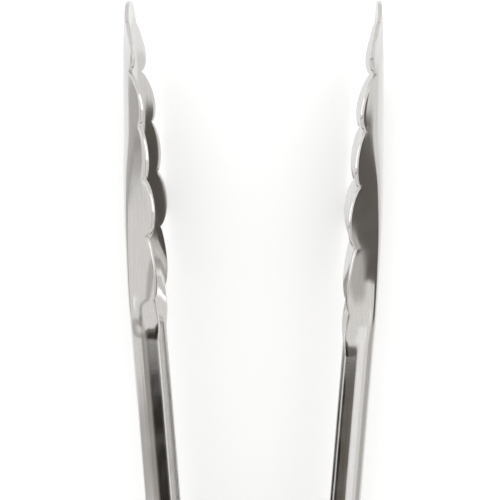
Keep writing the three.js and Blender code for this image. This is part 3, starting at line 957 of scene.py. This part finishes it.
def add_plate(bm, outline, slot, low, high):
    """A flat plate with a slot, left open along its rear edge."""
    layers = []
    for z in (low, high):
        loops = [[bm.verts.new((*point, z)) for point in loop] for loop in (outline, slot)]
        edges = [bm.edges.new((loop[i - 1], loop[i])) for loop in loops for i in range(len(loop))]
        bmesh.ops.triangle_fill(bm, edges=edges, use_beauty=True)
        layers.append(loops)
    for lower, upper in zip(*layers):
        for i in range(len(lower)):
            on_rear = lower is layers[0][0] and i == 1
            if not on_rear:
                bm.faces.new((lower[i - 1], lower[i], upper[i], upper[i - 1]))


def add_rear_bend(bm, lock, outside):
    """The strap's rear web and its two bends, open where the plates begin."""
    rear = EYE.y + strap_rear(lock)
    bend, thin = lock.bend, lock.bend - lock.strap
    centre_y, centre_z = rear + bend, outside - bend

    def side_profile(radius):
        upper = arc((centre_z, centre_y), radius, 0, -90, 6)
        return [(-z, y) for z, y in upper] + upper[::-1]

    # Angles run from the plate (0 degrees, +Z) round to the rear web (-90 degrees, -Y).
    outer, inner = side_profile(bend), side_profile(thin)
    rings = []
    for (oz, oy), (iz, iy) in zip(outer, inner):
        corners = [(lock.half_width, oy, oz), (-lock.half_width, oy, oz)]
        corners += [(-lock.half_width, iy, iz), (lock.half_width, iy, iz)]
        rings.append([bm.verts.new(corner) for corner in corners])
    for first, second in zip(rings, rings[1:]):
        for i in range(4):
            j = (i + 1) % 4
            bm.faces.new((first[i], first[j], second[j], second[i]))


def rolled_eye(lock):
    """The tongue behind the strap, rolled round the pull loop's bar."""
    hole = eye_hole(lock)
    radius = hole + lock.eye_wall
    into_web = EYE.y + strap_rear(lock) + lock.strap / 2
    # The tongue runs back beside the eye, then the roll goes round to meet it.
    outer = [(radius, into_web), (radius, EYE.y)] + arc((0, EYE.y), radius, 0, -262, 40)[1:]
    inner = [(hole, into_web), (hole, EYE.y)] + arc((0, EYE.y), hole, 0, -262, 40)[1:]
    return extruded_solid("eye", outer + inner[::-1], lock.eye_half)


def build_strap(name, settings):
    lock = settings["tongs_lock"]
    outside = strap_outside(settings)
    bm = bmesh.new()
    outline, slot = strap_outline(settings), strap_slot(settings)
    add_plate(bm, outline, slot, outside - lock.strap, outside)
    add_plate(bm, outline, slot, -outside, lock.strap - outside)
    add_rear_bend(bm, lock, outside)
    bmesh.ops.remove_doubles(bm, verts=bm.verts, dist=1e-6)
    obj = add_object(name, mesh_from_bmesh(name, bm))
    join_solids(obj, [rolled_eye(lock)], "UNION")
    return round_edges(obj, lock.edge)


# ---- materials ----------------------------------------------------------------------


def smooth_ramp(tree, value, low, high):
    """0 below low and 1 above high, easing between them; the ends may be swapped."""
    inputs = {"Value": value, "From Min": low, "From Max": high}
    return outcome(tree, "ShaderNodeMapRange", inputs, interpolation_type="SMOOTHSTEP")


def noise(tree, vector, scale, detail=4.0, roughness=0.6):
    inputs = {"Vector": vector, "Scale": scale, "Detail": detail, "Roughness": roughness}
    return outcome(tree, "ShaderNodeTexNoise", inputs)


def mix_colors(tree, factor, first, second):
    inputs = {"Factor": factor, 6: first, 7: second}
    return outcome(tree, "ShaderNodeMix", inputs, output=2, data_type="RGBA")


def polishing_group():
    """Fine lines left by polishing, and the small pits and smears of a used surface."""
    tree, given = new_tree(
        "Polishing marks",
        "ShaderNodeTree",
        [
            ("Vector", "NodeSocketVector"),
            ("Line Spacing", "NodeSocketVector"),
            ("Pit Scale", "NodeSocketFloat"),
            ("Smear Scale", "NodeSocketFloat"),
        ],
        [(name, "NodeSocketFloat") for name in ("Lines", "Pits", "Smears")],
    )
    stretched = outcome(
        tree,
        "ShaderNodeVectorMath",
        {0: given["Vector"], 1: given["Line Spacing"]},
        operation="MULTIPLY",
    )
    lines = noise(tree, stretched, 1.0, detail=3.0)
    pits = noise(tree, given["Vector"], given["Pit Scale"], detail=5.0, roughness=0.7)
    smears = noise(tree, given["Vector"], given["Smear Scale"], detail=2.0, roughness=0.5)
    marks = {
        "Lines": smooth_ramp(tree, lines, 0.3, 0.7),
        "Pits": smooth_ramp(tree, pits, 0.35, 0.7),
        "Smears": smooth_ramp(tree, smears, 0.35, 0.68),
    }
    return close_tree(tree, marks)


def edge_wear_and_highlight_group():
    """A mask of the outward edges, broken up by noise: partly real wear, partly a painted highlight
    along the rims.
    """
    tree, given = new_tree(
        "Worn and highlit edges",
        "ShaderNodeTree",
        [
            ("Vector", "NodeSocketVector"),
            ("Scale", "NodeSocketFloat"),
            ("Amount", "NodeSocketFloat"),
        ],
        [("Mask", "NodeSocketFloat")],
    )
    geometry = add_node(tree, "ShaderNodeNewGeometry")
    bulge = Signal(tree, geometry.outputs["Pointiness"])
    # the convex rims are picked out for a brighter colour: partly real wear, partly a painted
    # highlight
    edges = smooth_ramp(tree, bulge, 0.5, 0.58)
    patches = smooth_ramp(tree, noise(tree, given["Vector"], given["Scale"]), 0.3, 0.6)
    return close_tree(tree, {"Mask": (edges * patches * given["Amount"]).clamped()})


def new_material(name, **shader_values):
    """A material with its Principled shader's fixed values set."""
    material = bpy.data.materials.new(name)
    material.use_nodes = True
    tree = material.node_tree
    shader = tree.nodes["Principled BSDF"]
    for socket, value in shader_values.items():
        shader.inputs[socket.replace("_", " ")].default_value = value
    place = Signal(tree, tree.nodes.new("ShaderNodeTexCoord").outputs["Object"])
    return material, tree, shader, place


def place_group(tree, group, inputs):
    """Puts a shader group in a material; returns its outputs by name."""
    node = tree.nodes.new("ShaderNodeGroup")
    node.node_tree = group
    for name, value in inputs.items():
        feed(tree, node.inputs[name], value)
    return {socket.name: Signal(tree, socket) for socket in node.outputs}


def steel_material(name, groups, color, roughness, line_spacing, mark_depth):
    """Bare steel with polishing marks, smears, and brightened edges that are partly real wear and
    partly a painted highlight.
    """
    material, tree, shader, place = new_material(name, Metallic=1.0)
    marks = place_group(
        tree,
        groups["polishing"],
        {"Vector": place, "Line Spacing": line_spacing, "Pit Scale": 2600.0, "Smear Scale": 90.0},
    )
    wear_and_highlight = place_group(tree, groups["wear_and_highlight"], {"Vector": place, "Scale": 420.0, "Amount": 0.7})
    dull = [c * 0.83 for c in color] + [1.0]
    bright = [min(1.0, c * 1.06) for c in color] + [1.0]
    streaked = mix_colors(tree, marks["Lines"] * 0.45, (*color, 1.0), dull)
    pitted = mix_colors(tree, marks["Pits"] * 0.55, streaked, dull)
    # painted highlight: the outward edges get a brighter base colour, partly for real wear and
    # partly for the light the rims catch
    worn_and_highlit = mix_colors(tree, wear_and_highlight["Mask"], pitted, bright)
    feed(tree, shader.inputs["Base Color"], worn_and_highlit)
    rough = marks["Lines"] * 0.03 + marks["Smears"] * 0.05 + marks["Pits"] * 0.03 + roughness
    feed(tree, shader.inputs["Roughness"], rough + wear_and_highlight["Mask"] * 0.05)
    height = marks["Lines"] * 0.3 + marks["Pits"] * 0.7
    bump = outcome(
        tree, "ShaderNodeBump", {"Height": height, "Strength": 0.35, "Distance": mark_depth}
    )
    feed(tree, shader.inputs["Normal"], bump)
    return material


def nylon_material(groups, color):
    """Moulded nylon, slightly greyed by the steel that rubs on it."""
    material, tree, shader, place = new_material("nylon_finish", Roughness=0.5)
    marks = place_group(
        tree,
        groups["polishing"],
        {
            "Vector": place,
            "Line Spacing": (1500, 1500, 300),
            "Pit Scale": 1500.0,
            "Smear Scale": 300.0,
        },
    )
    rubbed = [c * 0.7 for c in color] + [1.0]
    greyed = mix_colors(tree, marks["Smears"] * 0.5, (*color, 1.0), rubbed)
    feed(tree, shader.inputs["Base Color"], greyed)
    feed(tree, shader.inputs["Roughness"], marks["Pits"] * 0.2 + 0.42)
    bump = outcome(
        tree, "ShaderNodeBump", {"Height": marks["Pits"], "Strength": 0.3, "Distance": 0.02 * MM}
    )
    feed(tree, shader.inputs["Normal"], bump)
    return material


def floor_material(color):
    material, tree, shader, place = new_material("floor_finish", Roughness=0.9)
    tone = smooth_ramp(tree, noise(tree, place, 6.0), 0.3, 0.7)
    darker = [c * 0.995 for c in color] + [1.0]
    feed(tree, shader.inputs["Base Color"], mix_colors(tree, tone, (*color, 1.0), darker))
    return material


def all_materials(finish):
    groups = {"polishing": polishing_group(), "wear_and_highlight": edge_wear_and_highlight_group()}
    along_arm = (1900.0, 60.0, 1900.0)
    round_wire = (2400.0, 2400.0, 2400.0)
    return {
        "sheet": steel_material(
            "sheet_steel_finish", groups, list(finish.sheet_steel), 0.05, along_arm, 0.005 * MM
        ),
        "wire": steel_material(
            "wire_steel_finish", groups, list(finish.wire_steel), 0.24, round_wire, 0.01 * MM
        ),
        "rivet": steel_material(
            "rivet_steel_finish", groups, list(finish.rivet_steel), 0.2, round_wire, 0.01 * MM
        ),
        "nylon": nylon_material(groups, list(finish.nylon)),
    }


MATERIALS = {}


def material_for(kind):
    """The shared materials, made once."""
    if not MATERIALS:
        MATERIALS.update(all_materials(bpy.context.scene.tongs_finish))
    return MATERIALS[kind]


def all_settings(context):
    return {name: getattr(context.scene, name) for name in SETTINGS}


# ---- the pieces ---------------------------------------------------------------------


class TONGS_OT_arms(bpy.types.Operator):
    """Builds both pressed arms"""

    bl_idname = "tongs.arms"
    bl_label = "Build arms"

    def execute(self, context):
        settings = all_settings(context)
        tree = pressed_channel_tree()
        steel = material_for("sheet")
        for name, node, pinched in (
            ("left_arm_pressing", "left_arm", False),
            ("right_arm_pressing", "right_arm", True),
        ):
            arm = build_arm(name, tree, settings, pinched, steel)
            if pinched:
                arm.data.transform(Matrix.Rotation(math.pi, 4, "Y"))
            place_piece(arm, steel)
            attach(arm, node)
            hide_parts(node)
        return {"FINISHED"}


class TONGS_OT_rivet(bpy.types.Operator):
    """Builds the rivet, its burr, the spacer sleeve and the ear washers"""

    bl_idname = "tongs.rivet"
    bl_label = "Build rivet stack"

    def execute(self, context):
        settings = all_settings(context)
        for name, profile, kind, node, slot in rivet_stack(settings):
            mesh = turned_mesh(name, profile, settings["tongs_rivet"].sides)
            piece = add_object(name, mesh)
            round_edges(piece, 0.12 * MM, angle=40, segments=2)
            place_piece(piece, material_for(kind))
            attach(piece, "pivot")
            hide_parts(node)
        return {"FINISHED"}


def ring_profile(inner, outer, low, high):
    return [(inner, low), (outer, low), (outer, high), (inner, high)]


def rivet_profile(rivet, ear_face):
    """From the middle of the domed head down to the middle of the clinched tail."""
    under = ear_face + GAP
    tail = -(under + rivet.burr_thickness + GAP)
    rim = 0.3 * rivet.head_height
    rise = rivet.head_height - rim
    flat = 2.5 * MM
    dome_steps, clinch_steps = 12, 8
    dome = []
    for i in range(dome_steps + 1):
        angle = math.pi / 2 * i / dome_steps
        radius = flat + (rivet.head - flat) * math.sin(angle)
        dome.append((radius, under + rim + rise * math.cos(angle)))
    clinch_edge, clinch_round = 0.2 * MM, 1.2 * MM
    clinch = []
    for i in range(clinch_steps + 1):
        angle = math.pi / 2 * i / clinch_steps
        radius = rivet.tail - clinch_round * (1 - math.cos(angle))
        fall = (rivet.tail_height - clinch_edge) * math.sin(angle)
        clinch.append((radius, tail - clinch_edge - fall))
    shank = [(rivet.head, under), (rivet.shank, under), (rivet.shank, tail), (rivet.tail, tail)]
    end = tail - rivet.tail_height
    dimple = [(0.8 * MM, end + 0.15 * MM), (0, end + 0.3 * MM)]
    return [(0, under + rivet.head_height), *dome, *shank, *clinch, *dimple]


def rivet_stack(settings):
    """Each turned piece: name, profile, finish, the CAD node it stands for and its slot."""
    arms, rivet = settings["tongs_arms"], settings["tongs_rivet"]
    hole = rivet.shank + GAP
    burr_top = -(arms.half_width + GAP)
    washer_low = pinched_half(arms, rivet) + GAP
    washer_high = washer_low + rivet.washer_thickness
    sleeve = strap_outside(settings) + GAP
    return [
        ("rivet", rivet_profile(rivet, arms.half_width), "rivet", "pivot_rivet", "rivet_steel"),
        (
            "clinch_ring",
            ring_profile(hole, rivet.burr, burr_top - rivet.burr_thickness, burr_top),
            "rivet",
            "rivet_burr",
            "rivet_steel",
        ),
        (
            "spacer",
            ring_profile(hole, hole + rivet.sleeve_wall, -sleeve, sleeve),
            "rivet",
            "spacer_sleeve",
            "rivet_steel",
        ),
        (
            "top_washer",
            ring_profile(hole, rivet.washer, washer_low, washer_high),
            "nylon",
            "ear_washer_top",
            "nylon",
        ),
        (
            "bottom_washer",
            ring_profile(hole, rivet.washer, -washer_high, -washer_low),
            "nylon",
            "ear_washer_bottom",
            "nylon",
        ),
    ]


class TONGS_OT_spring(bpy.types.Operator):
    """Builds the torsion spring as two halves"""

    bl_idname = "tongs.spring"
    bl_label = "Build spring"

    def execute(self, context):
        settings = all_settings(context)
        tree = drawn_wire_tree()
        wire = material_for("wire")
        _, knee, _ = spring_lead(settings)
        for name, body, side in (
            ("spring_left_half", "left_arm", -1),
            ("spring_right_half", "right_arm", 1),
        ):
            half = path_object(name, spring_half_path(settings, side))
            inputs = {"Radius": settings["tongs_spring"].wire, "Sides": 20, "Material": wire}
            run_tree(half, tree, inputs)
            place_piece(half, wire)
            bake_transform(half)
            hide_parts("torsion_spring")
        return {"FINISHED"}


class TONGS_OT_lock(bpy.types.Operator):
    """Builds the locking strap with its rolled eye"""

    bl_idname = "tongs.lock"
    bl_label = "Build lock"

    def execute(self, context):
        strap = build_strap("lock_strap", all_settings(context))
        place_piece(strap, material_for("sheet"))
        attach(strap, "lock")
        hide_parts("lock_slider")
        return {"FINISHED"}


class TONGS_OT_loop(bpy.types.Operator):
    """Builds the wire pull loop"""

    bl_idname = "tongs.loop"
    bl_label = "Build pull loop"

    def execute(self, context):
        lock = context.scene.tongs_lock
        wire = material_for("wire")
        loop = path_object("hanging_loop", loop_path(lock))
        run_tree(loop, drawn_wire_tree(), {"Radius": lock.loop_wire, "Sides": 28, "Material": wire})
        place_piece(loop, wire)
        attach(loop, "loop")
        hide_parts("pull_loop")
        return {"FINISHED"}


# ---- the stage ----------------------------------------------------------------------


def window(tree, value, low, high, soft):
    """1 where value lies between low and high, easing off over soft on either side."""
    rising = smooth_ramp(tree, value, low - soft, low + soft)
    falling = smooth_ramp(tree, value, high + soft, high - soft)
    return rising * falling


# What the steel mirrors besides the walls, by direction. Each row: its lowest and highest x, y
# and z, how softly it ends on each, and its tone and warmth.
WALL_TONE = (0.8, 0.02)
ROOM_LIGHT = 1.5
MIRRORED = [
    # the left-hand wall: lit ahead of the grips, in shade beyond the handles
    ((-1.2, -0.6), (-0.05, 1.2), (-0.8, 0.3), (0.1, 0.03, 0.1), (1.0, 0.0)),
    ((-1.2, -0.3), (-0.335, -0.261), (-1.2, 0.34), (0.1, 0.003, 0.03), (0.5, 0.03)),
    ((-0.95, -0.5), (-0.32, -0.245), (0.34, 0.8), (0.03, 0.005, 0.03), (0.43, 0.04)),
    # the floor's own glow, low down on both sides
    ((-1.2, 1.2), (-0.3, 1.2), (-1.2, -0.68), (0.1, 0.1, 0.04), (0.97, 0.0)),
    # the foot of the left-hand wall, with a dark skirting along its top
    ((-1.2, -0.7), (-0.2, -0.03), (-0.66, -0.43), (0.06, 0.02, 0.025), (0.52, 0.03)),
    ((-1.2, -0.7), (-0.2, -0.05), (-0.45, -0.42), (0.06, 0.02, 0.008), (0.25, 0.03)),
    # overhead: the dark end of the room, with paler strips of ceiling on both sides
    ((-0.7, -0.2), (-0.31, -0.172), (0.66, 1.2), (0.06, 0.01, 0.05), (0.33, 0.06)),
    ((0.25, 0.75), (-0.45, -0.1), (0.55, 1.2), (0.06, 0.05, 0.05), (0.98, 0.0)),
    ((-0.27, 0.15), (-1.2, -0.164), (0.6, 1.2), (0.03, 0.004, 0.08), (0.14, 0.12)),
    ((-0.17, 0.01), (-1.2, -0.164), (0.6, 1.2), (0.02, 0.004, 0.08), (0.015, 0.2)),
    # right-hand side: the shaded wall beyond the handles
    ((0.8, 1.2), (-1.2, -0.18), (-0.8, 0.16), (0.06, 0.03, 0.1), (0.52, 0.03)),
    # right-hand side, low: the dark bench front
    ((0.55, 1.2), (-0.19, 0.14), (-0.34, -0.05), (0.08, 0.02, 0.02), (0.09, 0.12)),
    ((0.6, 1.2), (-0.19, -0.072), (-0.46, -0.05), (0.08, 0.006, 0.02), (0.12, 0.1)),
    # the soft boxes on both sides
    ((0.62, 1.2), (-0.12, 0.6), (0.3, 0.62), (0.12, 0.04, 0.06), (1.6, 0.0)),
    ((-1.2, -0.75), (-0.12, 0.6), (0.24, 0.5), (0.12, 0.04, 0.06), (1.5, 0.0)),
]


def studio_world(scene):
    """White walls all round, with the darker and brighter things that polished steel mirrors."""
    world = bpy.data.worlds.new("studio")
    world.use_nodes = True
    scene.world = world
    tree = world.node_tree
    direction = Signal(tree, tree.nodes.new("ShaderNodeTexCoord").outputs["Generated"])
    x, y, z = parts_of(tree, direction)

    def gray(value, warmth=0.0):
        return (value * (1 + warmth), value, value * (1 - warmth), 1.0)

    tone = gray(*WALL_TONE)
    for across, along, up, soft, shade in MIRRORED:
        parts = zip((x, y, z), (across, along, up), soft)
        by_x, by_y, by_z = (window(tree, value, *ends, blur) for value, ends, blur in parts)
        tone = mix_colors(tree, by_x * by_y * by_z, tone, gray(*shade))
    light_path = add_node(tree, "ShaderNodeLightPath")
    glossy = Signal(tree, light_path.outputs["Is Glossy Ray"])
    seen = mix_colors(tree, glossy, gray(ROOM_LIGHT), tone)
    feed(tree, tree.nodes["Background"].inputs["Color"], seen)


class TONGS_OT_stage(bpy.types.Operator):
    """Builds the floor, the soft light and the camera"""

    bl_idname = "tongs.stage"
    bl_label = "Build stage"

    def execute(self, context):
        scene, stage = context.scene, context.scene.tongs_stage
        scene.view_settings.view_transform = "Standard"
        half = stage.floor_size / 2
        corners = [(-half, -half, 0), (half, -half, 0), (half, half, 0), (-half, half, 0)]
        floor = add_object("floor", mesh_from("floor", corners, faces=[(0, 1, 2, 3)]))
        floor.data.materials.append(floor_material(list(scene.tongs_finish.floor)))
        floor.visible_glossy = False
        studio_world(scene)
        camera = bpy.data.objects.new("camera", bpy.data.cameras.new("camera"))
        scene.collection.objects.link(camera)
        camera.data.lens = stage.lens
        camera.data.clip_start = 0.01
        stand = Vector((stage.camera_side, stage.camera_along, stage.camera_height))
        camera.location = PIVOT + stand
        aim = PIVOT + Vector((stage.aim_side, stage.aim_along, 0))
        back = (camera.location - aim).normalized()
        right = Vector((0, 1, 0)).cross(back).normalized()
        up = back.cross(right)
        turn = Matrix((right, up, back)).transposed().to_4x4()
        camera.matrix_world = Matrix.Translation(camera.location) @ turn
        scene.camera = camera
        return {"FINISHED"}


class TONGS_PT_panel(bpy.types.Panel):
    """Lists the builders of the tongs"""

    bl_label = "Tongs"
    bl_idname = "TONGS_PT_panel"
    bl_space_type = "VIEW_3D"
    bl_region_type = "UI"
    bl_category = "Tongs"

    def draw(self, context):
        for operator in OPERATORS:
            self.layout.operator(operator.bl_idname)
        for name, group in SETTINGS.items():
            box = self.layout.box()
            box.label(text=group.__doc__)
            for prop in group.__annotations__:
                box.prop(getattr(context.scene, name), prop)


OPERATORS = (
    TONGS_OT_stage,
    TONGS_OT_arms,
    TONGS_OT_rivet,
    TONGS_OT_spring,
    TONGS_OT_lock,
    TONGS_OT_loop,
)
CLASSES = (*SETTINGS.values(), *OPERATORS, TONGS_PT_panel)


def register():
    for cls in CLASSES:
        bpy.utils.register_class(cls)
    for name, group in SETTINGS.items():
        setattr(bpy.types.Scene, name, PointerProperty(type=group))


def unregister():
    for name in SETTINGS:
        delattr(bpy.types.Scene, name)
    for cls in reversed(CLASSES):
        bpy.utils.unregister_class(cls)


def main():
    register()
    bpy.ops.tongs.stage()
    bpy.ops.tongs.arms()
    bpy.ops.tongs.rivet()
    bpy.ops.tongs.spring()
    bpy.ops.tongs.lock()
    bpy.ops.tongs.loop()


if __name__ == "__main__":
    main()
